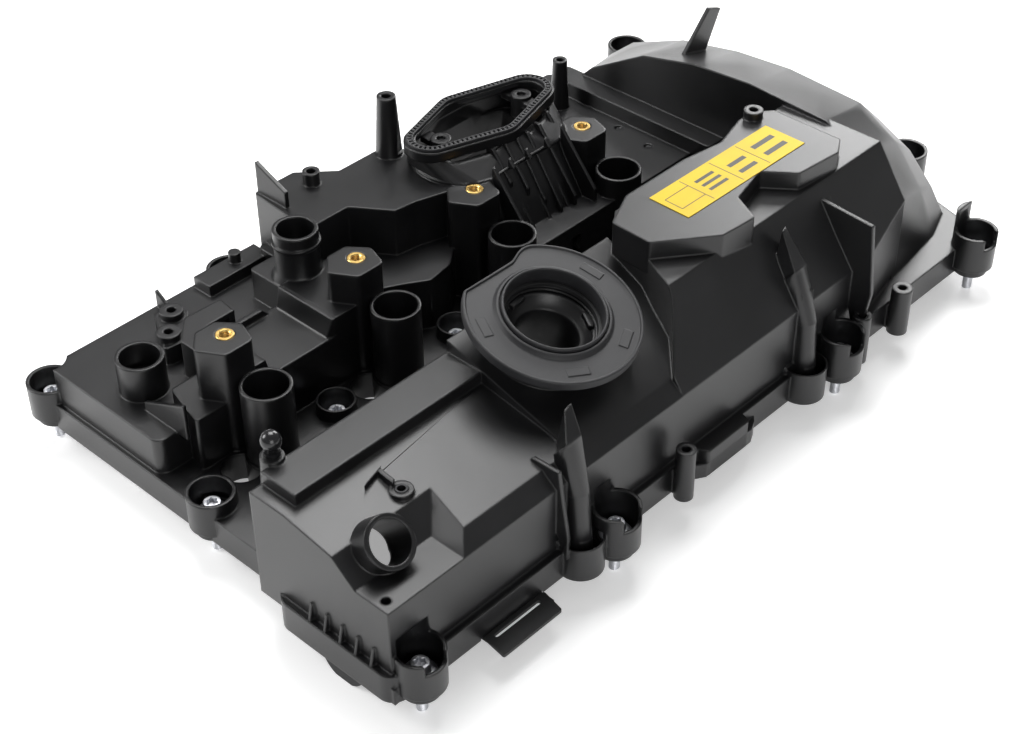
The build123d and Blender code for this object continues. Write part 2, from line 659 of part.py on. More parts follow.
    # Screw cups and holes, and the gasket grooves
    posts(SCREW_XY[2:6], CUP_R - CUP_WALL, CUP_FLOOR, CUP_BACK_TOP - WALL, mode=Mode.SUBTRACT)
    posts(SCREW_XY[:2] + SCREW_XY[6:RIM_SCREWS], CUP_R - CUP_WALL, CUP_FLOOR, 42, mode=Mode.SUBTRACT)
    posts(SCREW_XY[RIM_SCREWS:], INNER_CUP_R - INNER_CUP_WALL, CUP_FLOOR, 42, mode=Mode.SUBTRACT)
    posts(SCREW_XY, GROMMET_R + FIT, -1, CUP_FLOOR + 1, mode=Mode.SUBTRACT)
    for x, y, top in SCREWS[2:6]:
        cuboid((x - 7, y - 14, 21), (x + 7, y - 8, top + 1), mode=Mode.SUBTRACT)
    extrude(gasket_ring(0), amount=GROOVE_DEPTH, mode=Mode.SUBTRACT)
    for x in WELL_X:
        extrude(well_ring(x, 0), amount=WELL_GROOVE_DEPTH, mode=Mode.SUBTRACT)

# Perimeter gasket, with its pull tab and the half-moon lobe that fills the front cut-out
with BuildPart() as gasket:
    extrude(gasket_ring(GASKET_CLEAR, -GASKET_PROUD), amount=GASKET_PROUD + GROOVE_DEPTH - GASKET_CLEAR)
    with BuildSketch(Plane.YZ.offset(EXHAUST_FRONT_X + GROOVE_INSET + GASKET_CLEAR)) as lobe:
        with Locations((LOBE_Y, 0)):
            Circle(LOBE_R)
        with Locations((LOBE_Y, LOBE_R)):
            Rectangle(4 * LOBE_R, 2 * LOBE_R, mode=Mode.SUBTRACT)
        with Locations((LOBE_Y, -LOBE_DROP - LOBE_R)):
            Rectangle(4 * LOBE_R, 2 * LOBE_R, mode=Mode.SUBTRACT)
    extrude(lobe.sketch, amount=LOBE_T)
    cuboid((-10, NEAR_Y - 8, 0), (32, NEAR_Y + GROOVE_INSET + 1.5, TAB_NECK_T))
    block([(-9, -160.4), (-11, -175), (30, -175), (33, -160.4)], -GASKET_PROUD, TAB_T - GASKET_PROUD, 1)
    with BuildSketch(Plane.XY.offset(-GASKET_PROUD)) as tab_holes:
        with Locations((11, -163.5)):
            SlotOverall(32, 2.4)
    extrude(tab_holes.sketch, amount=TAB_T, mode=Mode.SUBTRACT)

# Gaskets round the plug wells and injector openings
well_gaskets = []
for x in WELL_X:
    with BuildPart() as well_gasket:
        extrude(well_ring(x, GASKET_CLEAR, -GASKET_PROUD),
                amount=GASKET_PROUD + WELL_GROOVE_DEPTH - GASKET_CLEAR)
    well_gaskets.append(well_gasket.part)

# Oil separator baffle plate, held by posts under the box roof
with BuildPart() as baffle:
    block(BOX, BAFFLE_Z, BAFFLE_Z + BAFFLE_T, inset=WALL + 1)
    posts([(VALVE_X, VALVE_Y)], VALVE_PORT_R, BAFFLE_Z - 1, BAFFLE_Z + BAFFLE_T + 1, mode=Mode.SUBTRACT)
    for turn in (0, 90):
        with Locations(Location((VALVE_X, VALVE_Y, BAFFLE_Z - 1), (0, 0, turn))):
            Box(2 * VALVE_PORT_R + 2, 2, 2 + BAFFLE_T)
    posts([(VALVE_X, VALVE_Y)], GUIDE_R + 2, BAFFLE_Z - 4, BAFFLE_Z + BAFFLE_T)
    posts([(VALVE_X, VALVE_Y)], GUIDE_R + GUIDE_CLEAR, BAFFLE_Z - 5, BAFFLE_Z + BAFFLE_T + 1,
          mode=Mode.SUBTRACT)
    with Locations(*[(x, y, BAFFLE_Z + BAFFLE_T / 2) for x, y in BAFFLE_DRAINS]):
        Box(4, 12, BAFFLE_T + 1, mode=Mode.SUBTRACT)

# Valve plate that lifts off the baffle port
with BuildPart() as valve:
    posts([(VALVE_X, VALVE_Y)], VALVE_R, BAFFLE_Z + BAFFLE_T, BAFFLE_Z + BAFFLE_T + VALVE_T)
    posts([(VALVE_X, VALVE_Y)], GUIDE_R, BAFFLE_Z - 10, BAFFLE_Z + BAFFLE_T)
    ring([(VALVE_X, VALVE_Y)], SPRING_R - 1.5, SPRING_R - 3, BAFFLE_Z + BAFFLE_T + VALVE_T - 0.5,
         BAFFLE_Z + BAFFLE_T + VALVE_T + 3)

# Spring that holds the valve plate down
spring_height = SPRING_TOP - BAFFLE_Z - BAFFLE_T - VALVE_T - 2 * SPRING_WIRE_R
with BuildPart() as spring:
    with BuildLine():
        coil = Helix(pitch=spring_height / SPRING_TURNS, height=spring_height, radius=SPRING_R,
                     center=(VALVE_X, VALVE_Y, BAFFLE_Z + BAFFLE_T + VALVE_T + SPRING_WIRE_R))
    with BuildSketch(Plane(origin=coil @ 0, z_dir=coil % 0)):
        Circle(SPRING_WIRE_R)
    sweep(path=coil, is_frenet=True)

# Rubber collar round the filler neck
with BuildPart() as collar:
    disc(filler_plane, COLLAR_R, -COLLAR_T, 0)
    disc(filler_plane, COLLAR_R, 0, 1)
    disc(filler_plane, COLLAR_R - 2.5, 0, 1, mode=Mode.SUBTRACT)
    disc(filler_plane, COLLAR_LIP_R, 0, COLLAR_LIP_H)
    disc(filler_plane, COLLAR_LIP_R - 2, COLLAR_LIP_H - 1.5, COLLAR_LIP_H, mode=Mode.SUBTRACT)
    disc(filler_plane, COLLAR_LIP_R - 3.5, COLLAR_LIP_H - 1.5, COLLAR_LIP_H)
    disc(filler_plane, FILLER_BORE_R, -COLLAR_T - 1, COLLAR_LIP_H + 1, mode=Mode.SUBTRACT)
    with BuildSketch(filler_plane.offset(-COLLAR_T - 1)) as flat:
        with Locations((-10, COLLAR_FLAT + 10)):
            Rectangle(60, 20)
    extrude(flat.sketch, amount=COLLAR_T + 4, mode=Mode.SUBTRACT)

# Seal between the collar and the neck
with BuildPart() as neck_seal:
    disc(filler_plane, NECK_R - 3 - FIT, -COLLAR_T - NECK_SEAL_T, -COLLAR_T)
    disc(filler_plane, NECK_R - 6 + FIT, -COLLAR_T - NECK_SEAL_T - 1, -COLLAR_T + 1, mode=Mode.SUBTRACT)

# Oval gasket in the duct rim
with BuildPart() as duct_seal:
    extrude(duct_groove(FIT), amount=DUCT_GASKET_H)

# Lip seal in the round socket
with BuildPart() as socket_ring:
    ring([(SOCKET_X, SOCKET_Y)], SOCKET_BORE_R - FIT, SOCKET_SEAL_BORE_R, DECK_TOP,
         DECK_TOP + SOCKET_SEAL_H)

# Metal bush beside the sensor port
with BuildPart() as bush:
    ring([(BUSH_X, BUSH_Y)], BUSH_R - FIT, BUSH_BORE_R, BUSH_TOP - 9, BUSH_TOP + 0.3)

# Brass inserts for the coil screws
with BuildPart() as inserts:
    ring([(x, INSERT_Y) for x in INSERT_X], INSERT_R, INSERT_BORE_R, PEDESTAL_TOP - INSERT_DEPTH,
         PEDESTAL_TOP + 0.3)

# Ball stud
with BuildPart() as stud:
    with Locations((BALL_X, BALL_Y, BALL_Z)):
        Sphere(BALL_R)
    posts([(BALL_X, BALL_Y)], STUD_R, BALL_POST_TOP - 12, BALL_Z)
    posts([(BALL_X, BALL_Y)], BALL_R - 1, BALL_POST_TOP, BALL_POST_TOP + 2)

# Label on the plateau
with BuildPart() as label:
    with Locations(Location((LABEL_X, LABEL_Y, PLATEAU_TOP + LABEL_T / 2), (0, 0, LABEL_TURN))):
        Box(LABEL_L, LABEL_W, LABEL_T)

# Screws, and the sleeve and grommet under each
with BuildPart() as screws:
    posts(SCREW_XY, SCREW_R, SCREW_TIP, SLEEVE_TOP)
    posts(SCREW_XY, WASHER_R, SLEEVE_TOP, SLEEVE_TOP + WASHER_H)
    with BuildSketch(Plane.XY.offset(SLEEVE_TOP + WASHER_H)) as heads:
        with Locations(*SCREW_XY):
            RegularPolygon(HEAD_R, 6)
    extrude(heads.sketch, amount=HEAD_H)

with BuildPart() as sleeves:
    ring(SCREW_XY, SLEEVE_R, SLEEVE_BORE_R, 0, SLEEVE_TOP)

with BuildPart() as grommets:
    ring(SCREW_XY, GROMMET_LIP_R, SLEEVE_R + FIT, CUP_FLOOR, CUP_FLOOR + GROMMET_LIP)
    ring(SCREW_XY, GROMMET_R, SLEEVE_R + FIT, GROMMET_FOOT, CUP_FLOOR)

NODES = [
    ("cover_moulding", cover.part),
    ("perimeter_gasket", gasket.part),
    *[(f"well_gasket_{n + 1}", part) for n, part in enumerate(well_gaskets)],
    ("separator_baffle", baffle.part),
    ("separator_valve_plate", valve.part),
    ("separator_valve_spring", spring.part),
    ("filler_collar", collar.part),
    ("filler_neck_seal", neck_seal.part),
    ("duct_gasket", duct_seal.part),
    ("socket_seal", socket_ring.part),
    ("sensor_bush", bush.part),
    ("coil_inserts", inserts.part),
    ("ball_stud", stud.part),
    ("label", label.part),
    ("cover_screws", screws.part),
    ("screw_sleeves", sleeves.part),
    ("screw_grommets", grommets.part),
]

os.makedirs("parts", exist_ok=True)
for name, part in NODES:
    part.label = name
    export_step(part, f"parts/{name}.step")
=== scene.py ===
import math

import bmesh
import bpy
from mathutils import Matrix, Vector


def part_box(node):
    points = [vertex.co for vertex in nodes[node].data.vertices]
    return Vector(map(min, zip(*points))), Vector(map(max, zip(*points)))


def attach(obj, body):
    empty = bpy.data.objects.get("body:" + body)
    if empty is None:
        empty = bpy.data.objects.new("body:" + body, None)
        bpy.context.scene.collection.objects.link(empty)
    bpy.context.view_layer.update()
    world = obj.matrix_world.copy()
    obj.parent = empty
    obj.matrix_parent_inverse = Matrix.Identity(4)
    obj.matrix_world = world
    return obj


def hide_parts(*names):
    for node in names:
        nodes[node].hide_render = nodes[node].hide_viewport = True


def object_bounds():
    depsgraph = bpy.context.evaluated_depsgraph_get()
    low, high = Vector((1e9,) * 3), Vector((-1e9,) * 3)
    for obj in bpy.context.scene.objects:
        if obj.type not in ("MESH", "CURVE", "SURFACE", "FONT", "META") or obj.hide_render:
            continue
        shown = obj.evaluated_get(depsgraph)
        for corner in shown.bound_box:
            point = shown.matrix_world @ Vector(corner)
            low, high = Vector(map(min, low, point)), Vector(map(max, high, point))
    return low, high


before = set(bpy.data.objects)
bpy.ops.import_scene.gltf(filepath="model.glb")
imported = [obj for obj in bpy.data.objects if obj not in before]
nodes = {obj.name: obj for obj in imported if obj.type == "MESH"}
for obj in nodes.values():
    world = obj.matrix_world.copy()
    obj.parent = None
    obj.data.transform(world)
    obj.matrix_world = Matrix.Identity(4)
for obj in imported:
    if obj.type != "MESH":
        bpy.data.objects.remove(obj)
cad_low, cad_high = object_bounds()
MM = 0.001

# Studio: the cover lies on its screw tips on a plain white floor, under wide soft
# lamps. The camera looks down on it from its exhaust side and its front, and stands
# where the photo was taken from.
CAMERA_PLACE = Vector((-448.137, -597.113, 660.928)) * MM
CAMERA_AZIMUTH = -0.811217423
CAMERA_ELEVATION = 0.674239903
CAMERA_ROLL = -0.00949651823
FOCAL_PIXELS = 1877.15
IMAGE_WIDTH = 1024
SENSOR_WIDTH = 36.0
FARTHEST_SEEN = 50
ROOM_GLOW = 0.3

back = Vector((
    math.sin(CAMERA_AZIMUTH) * math.cos(CAMERA_ELEVATION),
    -math.cos(CAMERA_AZIMUTH) * math.cos(CAMERA_ELEVATION),
    math.sin(CAMERA_ELEVATION),
))
right = (-back).cross(Vector((0, 0, 1))).normalized()
up = right.cross(-back)
turn_cos, turn_sin = math.cos(CAMERA_ROLL), math.sin(CAMERA_ROLL)
right, up = turn_cos * right + turn_sin * up, turn_cos * up - turn_sin * right
camera_data = bpy.data.cameras.new("camera")
camera_data.sensor_width = SENSOR_WIDTH
camera_data.lens = FOCAL_PIXELS / IMAGE_WIDTH * SENSOR_WIDTH
camera_data.clip_end = FARTHEST_SEEN
camera = bpy.data.objects.new("camera", camera_data)
camera.matrix_world = Matrix.Translation(CAMERA_PLACE) @ Matrix((right, up, back)).transposed().to_4x4()
bpy.context.scene.collection.objects.link(camera)
bpy.context.scene.camera = camera
bpy.context.scene.view_settings.view_transform = "Standard"

middle = (cad_low + cad_high) / 2


def soft_lamp(name, place, size, watts):
    """A square area lamp that looks at the middle of the cover."""
    data = bpy.data.lights.new(name, "AREA")
    data.size = size
    data.energy = watts
    lamp = bpy.data.objects.new(name, data)
    lamp.location = middle + Vector(place)
    lamp.rotation_euler = (-Vector(place)).to_track_quat("-Z", "Y").to_euler()
    bpy.context.scene.collection.objects.link(lamp)


soft_lamp("lamp_over", (0.35, 0.45, 1.4), 0.9, 24)
soft_lamp("lamp_far_left", (-0.9, 1.1, 0.8), 0.7, 14)
soft_lamp("lamp_far_right", (1.3, 0.5, 0.7), 0.6, 12)
soft_lamp("lamp_front", (-0.9, -1.3, 0.55), 0.8, 7)


class Value:
    """A shader value that takes part in ordinary arithmetic."""

    def __init__(self, tree, socket):
        self.tree = tree
        self.socket = socket

    def __add__(self, other):
        return make(self.tree, "ShaderNodeMath", {"operation": "ADD"}, self, other)

    def __mul__(self, other):
        return make(self.tree, "ShaderNodeMath", {"operation": "MULTIPLY"}, self, other)

    __radd__ = __add__
    __rmul__ = __mul__


def make(tree, kind, settings, *values, out=0, **named):
    """Adds a node: first its settings, then the values or links of its sockets."""
    node = tree.nodes.new(kind)
    for key, setting in settings.items():
        if key == "stops":
            ramp = node.color_ramp
            while len(ramp.elements) < len(setting):
                ramp.elements.new(0.5)
            for element, (place, shade) in zip(ramp.elements, setting):
                element.position = place
                element.color = shade
        else:
            setattr(node, key, setting)
    pairs = list(enumerate(values)) + [(key.replace("_", " "), value) for key, value in named.items()]
    for key, value in pairs:
        socket = node.inputs[key]
        if isinstance(value, Value):
            tree.links.new(value.socket, socket)
        else:
            socket.default_value = value
    if node.outputs:
        return Value(tree, node.outputs[out])


def grey(level):
    return (level, level, level, 1)


world = bpy.data.worlds.new("white_room")
bpy.context.scene.world = world
world.use_nodes = True
sky = world.node_tree
sky.nodes.clear()
room = make(sky, "ShaderNodeBackground", {}, Color=grey(1), Strength=ROOM_GLOW)
plain = make(sky, "ShaderNodeBackground", {}, Color=grey(1), Strength=1.0)
seen = make(sky, "ShaderNodeLightPath", {}, out="Is Camera Ray")
make(sky, "ShaderNodeOutputWorld", {}, Surface=make(sky, "ShaderNodeMixShader", {}, seen, room, plain))


# Studio floor: seamless white sweep of painted board, laid flat under the screw tips.
# It keeps only the cover's soft shadow.
FLOOR_WHITE = 0.93
FLOOR_GLOW = 0.35
FLOOR_SIZE = 30.0


def finish_of(name):
    """A new material, with its tree, its shader and the object's own coordinates."""
    material = bpy.data.materials.new(name)
    material.use_nodes = True
    tree = material.node_tree
    shader = tree.nodes["Principled BSDF"]
    place = make(tree, "ShaderNodeTexCoord", {}, out="Object")
    return material, tree, shader, place


floor_finish, tree, shader, place = finish_of("studio_white")
shader.inputs["Base Color"].default_value = grey(FLOOR_WHITE)
shader.inputs["Roughness"].default_value = 0.9
seen = make(tree, "ShaderNodeLightPath", {}, out="Is Camera Ray")
mirrored = make(tree, "ShaderNodeLightPath", {}, out="Is Glossy Ray")
glow = make(tree, "ShaderNodeValToRGB", {"stops": [(0, grey(0)), (1, grey(FLOOR_GLOW))]}, seen + mirrored)
tree.links.new(glow.socket, shader.inputs["Emission Color"])
shader.inputs["Emission Strength"].default_value = 1.0
floor_mesh = bpy.data.meshes.new("floor")
half = FLOOR_SIZE / 2
floor_mesh.from_pydata(
    [(-half, -half, cad_low.z), (half, -half, cad_low.z), (half, half, cad_low.z), (-half, half, cad_low.z)],
    [], [(0, 1, 2, 3)],
)
floor = bpy.data.objects.new("floor", floor_mesh)
floor_mesh.materials.append(floor_finish)
bpy.context.scene.collection.objects.link(floor)


# Cover moulding: glass-filled nylon, injection moulded in one piece, with a satin
# spark-eroded grain. Its skin is the solid with the finer forms of the mould cut and
# grown on it: near columns and fins, filler mouth, duct rim, sunk deck and flange swell.
NYLON_BLACK = (0.005, 0.005, 0.0055, 1)
NYLON_PALE = (0.0095, 0.0095, 0.0102, 1)
NYLON_GRAIN = 2600
EDGE_RADIUS = 1.7 * MM
SMOOTH_ANGLE = math.radians(28)

# The sizes of all the forms below are in millimetres. The filler leans on its own axis,
# and its heights are along that axis, from the plane of its collar.
FILLER_PLACE = (104.7, -100.5, 100.0)
FILLER_TILT = math.radians(16)
MOUTH_REACH, MOUTH_FOOT, MOUTH_TOP = 25.5, -7, 2
STEP_REACH, STEP_FOOT, STEP_TOP = 23.4, -13, -6

# The duct's rim is drawn tight round four circles, each with its X, Y and reach.
DUCT_ROUNDS = ((182.5, 63.0, 16.0), (260.0, 61.0, 16.0), (221.0, 52.5, 18.5), (217.0, 70.0, 19.5))
DUCT_FOOT_ROUNDS = ((196.0, 51.0, 24.0), (245.9, 49.4, 24.0), (196.0, 63.4, 24.0), (245.9, 63.4, 24.0))
DUCT_WALL = 5
DUCT_JOIN = 82.0
DUCT_RIM_FOOT = 92.0
DUCT_RIM_TOP = 98.0
DUCT_RIM_WIDTH = 7.0
RIM_STEP = 2.5
PLAIN_DUCT_ENDS = (191, 245)
PLAIN_DUCT_Y, PLAIN_DUCT_REACH, PLAIN_DUCT_TOP = 57.5, 31, 101

# Outlines across the cover, as Y and Z, with where they start and end along it.
DUCT_FRONT_ENDS = (196.3, 250.9)
DUCT_FRONT = [(28.2, 81.9), (6.9, 50.05), (-3, 50.05), (-3, 93)]
PLAIN_FIN_ENDS = (293, 297)
PLAIN_FIN = [
    (-156.05, 40), (-156.05, 56), (-143.05, 74.05), (-126.05, 99.05), (-126, 105), (-170, 105), (-170, 40),
]
TALL_FIN_ENDS = (288.8, 291.2)
TALL_FIN = [(-130, 92), (-165, 89.5), (-169.5, 46.4), (-167, 30), (-160, 20), (-150, 50)]
SHORT_FIN_ENDS = (46.4, 48.6)
SHORT_FIN = [(-136, 60), (-140, 67), (-157, 67.5), (-160, 48), (-163.5, 28), (-163, 14), (-150, 40)]

# Outlines seen from above, as X and Y, with their heights.
SUNK_DECK_HEIGHTS = (50, 63)
SUNK_DECK = [(12.3, 15.5), (62.5, 15.5), (62.5, 61), (12.3, 61)]
SWELL_HEIGHTS = (0.2, 9.4)
FLANGE_SWELL = [
    (136, -154), (136, -158), (142, -159), (148, -163), (153, -166), (191, -166), (197, -163), (202, -159),
    (208, -158), (208, -154),
]

# Blocks that line the sunk deck: the ends along X, Y and Z, and the points of a slope.
DECK_BLOCKS = (
    ((9, 65), (16.2, 60), (46.5, 50.5), []),
    ((60.5, 65), (16.2, 59.8), (46.8, 61.8), [(56, 18, 49), (56, 58, 49)]),
    ((9, 13.6), (16.2, 59.8), (46.8, 61.8), [(18, 18, 49), (18, 58, 49)]),
)
# The step at the deck's far side: its ends along Y, and its ends along X at two heights.
DECK_STEP_Y = (57, 60.1)
DECK_STEP = ((50, (22, 50)), (55, (26, 46)))

# The near columns: X, the Y and Z of the bend, and the corners of the hood at the tip.
NEAR_COLUMNS = (
    (60, -154.5, 78, ((66, -143, 87), (72, -142, 87), (64, -140, 66), (74, -140, 66))),
    (245, -151, 79, ((243.5, -138, 98), (247.5, -137, 98), (241, -137, 80), (250, -137, 80))),
)
PLAIN_COLUMN_Y, PLAIN_COLUMN_REACH, PLAIN_COLUMN_HEIGHTS = -160, 5.6, (21.5, 70)
# Foot and waist of a column, as Y, Z and reach.
COLUMN_FOOT = (-160.5, 3, 6.5)
COLUMN_WAIST = (-157.5, 48, 6)
COLUMN_BACK, COLUMN_BACK_FOOT, COLUMN_BACK_TOP = -150, 3, 50
BACK_HALF, BEND_HALF, NECK_HALF = 6, 5.5, 5
# How far behind and below the bend the web and the neck end.
WEB_BEHIND, WEB_BELOW = 8, 10
NECK_BEHIND, NECK_BELOW = 4, 14
CUP_WALL_HALF, CUP_WALL_NEAR, CUP_WALL_FAR, CUP_WALL_HEIGHTS = 13, -157, -152, (4, 22)
# The hook's two webs, as the X and Y of their ends.
HOOK_WEBS = ((-27, -102, -14.5, -98.5), (-15.5, -99, -16.5, -110))
HOOK_ACROSS, HOOK_ALONG, HOOK_HEIGHTS = 2.4, 1.2, (66, 74.5)
FRONT_HOLE_X, FRONT_HOLE_Y, FRONT_HOLE_REACH, FRONT_HOLE_HEIGHTS = -59.5, -149, 2.4, (50, 60)
ROUND_STEPS = 32
FILLER_STEPS = 64


def rounded_normal(tree, radius, height, strength, distance):
    """Grain on top of edges that catch the light as if they were rounded."""
    edge = make(tree, "ShaderNodeBevel", {"samples": 6}, Radius=radius)
    return make(tree, "ShaderNodeBump", {}, Strength=strength, Distance=distance, Height=height, Normal=edge)


def nylon(name, roughness):
    """Satin nylon: a slight mottle where the melt flowed, and fine grain."""
    material, tree, shader, place = finish_of(name)
    mottle = make(tree, "ShaderNodeTexNoise", {}, Vector=place, Scale=16, Detail=5, Roughness=0.6)
    cloud = make(tree, "ShaderNodeTexNoise", {}, Vector=place, Scale=5, Detail=3, Roughness=0.5)
    grain = make(tree, "ShaderNodeTexNoise", {}, Vector=place, Scale=NYLON_GRAIN, Detail=2, Roughness=0.5)
    shade = make(tree, "ShaderNodeValToRGB", {"stops": [(0.35, NYLON_BLACK), (0.68, NYLON_PALE)]}, mottle)
    tree.links.new(shade.socket, shader.inputs["Base Color"])
    rough = roughness - 0.06 + mottle * 0.1 + cloud * 0.08
    tree.links.new(rough.socket, shader.inputs["Roughness"])
    normal = rounded_normal(tree, EDGE_RADIUS, grain, 0.18, 0.00025)
    tree.links.new(normal.socket, shader.inputs["Normal"])
    return material


def level_round(x, y, z, reach):
    """Points of a level circle."""
    turns = [2 * math.pi * k / ROUND_STEPS for k in range(ROUND_STEPS)]
    return [(x + reach * math.cos(turn), y + reach * math.sin(turn), z) for turn in turns]


def filler_point(across, along, height):
    """A point placed from the leaning axis of the filler."""
    x, y, z = FILLER_PLACE
    lean_cos, lean_sin = math.cos(FILLER_TILT), math.sin(FILLER_TILT)
    return (x + across, y + along * lean_cos - height * lean_sin, z + along * lean_sin + height * lean_cos)


def filler_round(height, reach):
    """Points of a circle round the filler's axis."""
    turns = [2 * math.pi * k / FILLER_STEPS for k in range(FILLER_STEPS)]
    return [filler_point(reach * math.cos(turn), reach * math.sin(turn), height) for turn in turns]


def rounds_at(rounds, inset, z):
    """Points of several circles at one height, drawn in by an inset."""
    return [point for x, y, reach in rounds for point in level_round(x, y, z, reach - inset)]


def hull(work, points):
    """Adds a closed convex body round points that are given in millimetres."""
    corners = [work.verts.new(Vector(point) * MM) for point in points]
    made = bmesh.ops.convex_hull(work, input=corners)
    spare = {part for part in made["geom_interior"] + made["geom_unused"]
             if isinstance(part, bmesh.types.BMVert)}
    bmesh.ops.delete(work, geom=list(spare), context="VERTS")


def slab(work, outline, ends, axis="z"):
    """Adds a straight body of one outline, between its two ends along X or Z."""
    def corner(a, b, c):
        return Vector((c, a, b) if axis == "x" else (a, b, c)) * MM

    floor_row = [work.verts.new(corner(a, b, ends[0])) for a, b in outline]
    roof_row = [work.verts.new(corner(a, b, ends[1])) for a, b in outline]
    work.faces.new(floor_row)
    work.faces.new(roof_row)
    for n in range(len(outline)):
        after = (n + 1) % len(outline)
        work.faces.new((floor_row[n], floor_row[after], roof_row[after], roof_row[n]))


def either_side(x, half, y, z):
    """Two points at one height, on either side of a column's middle."""
    return [(x - half, y, z), (x + half, y, z)]


def near_column(work, x, bend_y, bend_z, tip):
    """A round column that leans in from a bend and ends in a hood, and the wall behind its cup."""
    foot, waist = level_round(x, *COLUMN_FOOT), level_round(x, *COLUMN_WAIST)
    bend = either_side(x, BEND_HALF, bend_y, bend_z)
    hull(work, foot + waist + either_side(x, BACK_HALF, COLUMN_BACK, COLUMN_BACK_FOOT)
         + either_side(x, BACK_HALF, COLUMN_BACK, COLUMN_BACK_TOP))
    hull(work, waist + either_side(x, BACK_HALF, COLUMN_BACK, COLUMN_WAIST[1]) + bend
         + either_side(x, BEND_HALF, bend_y + WEB_BEHIND, bend_z - WEB_BELOW))
    hull(work, bend + either_side(x, NECK_HALF, bend_y + NECK_BEHIND, bend_z - NECK_BELOW) + list(tip))
    left, right = x - CUP_WALL_HALF, x + CUP_WALL_HALF
    slab(work, [(left, CUP_WALL_NEAR), (right, CUP_WALL_NEAR), (right, CUP_WALL_FAR), (left, CUP_WALL_FAR)],
         CUP_WALL_HEIGHTS)


def reshape(piece, operation, work):
    """Joins the work to the piece or cuts it away, and keeps the result as the piece's mesh."""
    bmesh.ops.recalc_face_normals(work, faces=work.faces)
    mesh = bpy.data.meshes.new("former")
    work.to_mesh(mesh)
    work.free()
    former = bpy.data.objects.new("former", mesh)
    bpy.context.scene.collection.objects.link(former)
    change = piece.modifiers.new("change", "BOOLEAN")
    change.operation = operation
    change.solver = "EXACT"
    change.use_self = True
    change.object = former
    bpy.context.view_layer.update()
    shaped = bpy.data.meshes.new_from_object(piece.evaluated_get(bpy.context.evaluated_depsgraph_get()))
    piece.modifiers.remove(change)
    piece.data = shaped
    bpy.data.objects.remove(former)
    bpy.data.meshes.remove(mesh)


def coat(piece, material, smooth=True):
    """Gives a piece its finish, and smooth shading between its sharp edges."""
    piece.data.materials.clear()
    piece.data.materials.append(material)
    for face in piece.data.polygons:
        face.use_smooth = smooth
        face.material_index = 0
    if smooth:
        split = piece.modifiers.new("split", "EDGE_SPLIT")
        split.split_angle = SMOOTH_ANGLE


work = bmesh.new()
work.from_mesh(nodes["cover_moulding"].data)
bmesh.ops.remove_doubles(work, verts=work.verts, dist=0.000001)
skin_mesh = bpy.data.meshes.new("moulded_skin")
work.to_mesh(skin_mesh)
work.free()
skin = bpy.data.objects.new("moulded_skin", skin_mesh)
bpy.context.scene.collection.objects.link(skin)

# Cut first: the solid's plain duct top, plain fin and column heads, the roof between the
# first two coil pedestals, and the filler's mouth.
work = bmesh.new()
hull(work, [point for z in (DUCT_JOIN, PLAIN_DUCT_TOP) for x in PLAIN_DUCT_ENDS
            for point in level_round(x, PLAIN_DUCT_Y, z, PLAIN_DUCT_REACH)])
slab(work, DUCT_FRONT, DUCT_FRONT_ENDS, "x")
slab(work, PLAIN_FIN, PLAIN_FIN_ENDS, "x")
slab(work, SUNK_DECK, SUNK_DECK_HEIGHTS)
hull(work, filler_round(MOUTH_FOOT, MOUTH_REACH) + filler_round(MOUTH_TOP, MOUTH_REACH))
for column in NEAR_COLUMNS:
    hull(work, [point for z in PLAIN_COLUMN_HEIGHTS
                for point in level_round(column[0], PLAIN_COLUMN_Y, z, PLAIN_COLUMN_REACH)])
reshape(skin, "DIFFERENCE", work)

# Then grow the new forms on it: the sunk deck's floor and sloped ends, the columns, the
# fins, the hook on the roof, the duct's foot and rim, and the swell of the flange.
work = bmesh.new()
for xs, ys, zs, slope in DECK_BLOCKS:
    hull(work, [(x, y, z) for x in xs for y in ys for z in zs] + slope)
hull(work, [(x, y, z) for z, xs in DECK_STEP for x in xs for y in DECK_STEP_Y])
for column in NEAR_COLUMNS:
    near_column(work, *column)
slab(work, TALL_FIN, TALL_FIN_ENDS, "x")
slab(work, SHORT_FIN, SHORT_FIN_ENDS, "x")
for low_x, low_y, high_x, high_y in HOOK_WEBS:
    corners = [(low_x, low_y), (high_x, high_y)]
    corners += [(x + HOOK_ACROSS, y + HOOK_ALONG) for x, y in corners]
    hull(work, [(x, y, z) for x, y in corners for z in HOOK_HEIGHTS])
hull(work, rounds_at(DUCT_FOOT_ROUNDS, 0, DUCT_JOIN - 0.5)
     + rounds_at(DUCT_ROUNDS, RIM_STEP, DUCT_RIM_FOOT + 0.5))
hull(work, rounds_at(DUCT_ROUNDS, 0, DUCT_RIM_FOOT) + rounds_at(DUCT_ROUNDS, 0, DUCT_RIM_TOP))
slab(work, FLANGE_SWELL, SWELL_HEIGHTS)
reshape(skin, "UNION", work)

# Last, the hollows: the air way of the duct, the step in the filler, and a small front hole.
work = bmesh.new()
hull(work, rounds_at(DUCT_FOOT_ROUNDS, DUCT_WALL, DUCT_JOIN - 3)
     + rounds_at(DUCT_ROUNDS, DUCT_RIM_WIDTH, DUCT_RIM_FOOT - 1)
     + rounds_at(DUCT_ROUNDS, DUCT_RIM_WIDTH, DUCT_RIM_TOP + 2))
hull(work, filler_round(STEP_FOOT, STEP_REACH) + filler_round(STEP_TOP, STEP_REACH))
hull(work, [point for z in FRONT_HOLE_HEIGHTS
            for point in level_round(FRONT_HOLE_X, FRONT_HOLE_Y, z, FRONT_HOLE_REACH)])
reshape(skin, "DIFFERENCE", work)

nylon_black = nylon("nylon_black", 0.3)
coat(skin, nylon_black)
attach(skin, "cover")
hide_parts("cover_moulding")


